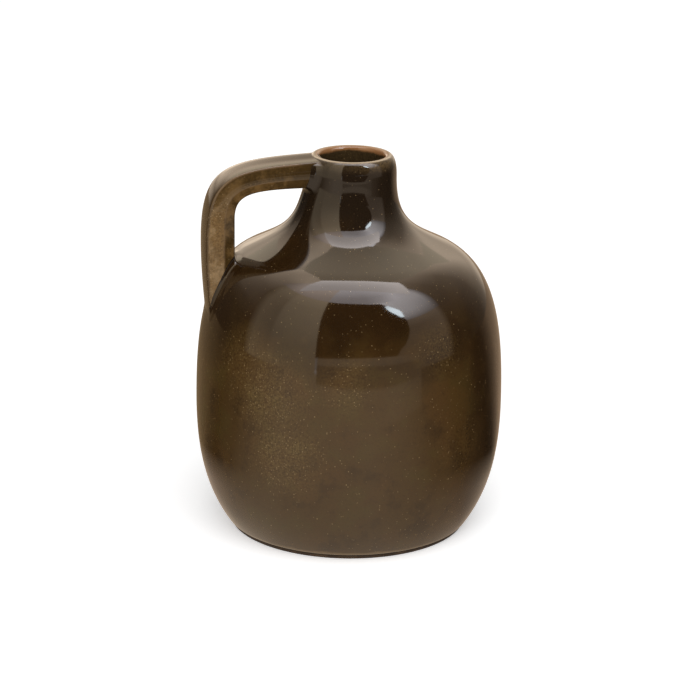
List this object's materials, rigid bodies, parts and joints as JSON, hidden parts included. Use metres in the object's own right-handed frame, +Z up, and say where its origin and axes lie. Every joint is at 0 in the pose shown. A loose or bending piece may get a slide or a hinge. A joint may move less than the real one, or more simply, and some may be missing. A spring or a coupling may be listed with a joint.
{
  "type": "bud vase",
  "caption": "Small round-bellied bud vase in brown glazed stoneware, with a short neck, a rounded lip and a flat strap handle from the neck down to the shoulder.",
  "frame": {"origin": "on the turning axis, on the surface that the foot ring stands on", "axes": "+Z up along the turning axis, towards the mouth; the handle lies in the XZ plane on the -X side; +Y is away from a viewer who sees the handle on the left"},
  "size_m": [0.0972, 0.0972, 0.12],
  "materials": {
    "glaze": "glossy iron-brown glaze, dark where it is thick, rust and tan where it breaks over the lip, with fine gold specks",
    "handle_glaze": "the same glossy glaze, thinner, mottled tan and brown with darker edges",
    "bare_clay": "matt fired clay with a thin brown wash"
  },
  "bodies": {
    "root": {"foot_ring": "bare_clay", "body": "glaze", "neck": "glaze", "handle": "handle_glaze", "upper_slip_joint": "glaze", "lower_slip_joint": "glaze"}
  },
  "joints": []
}
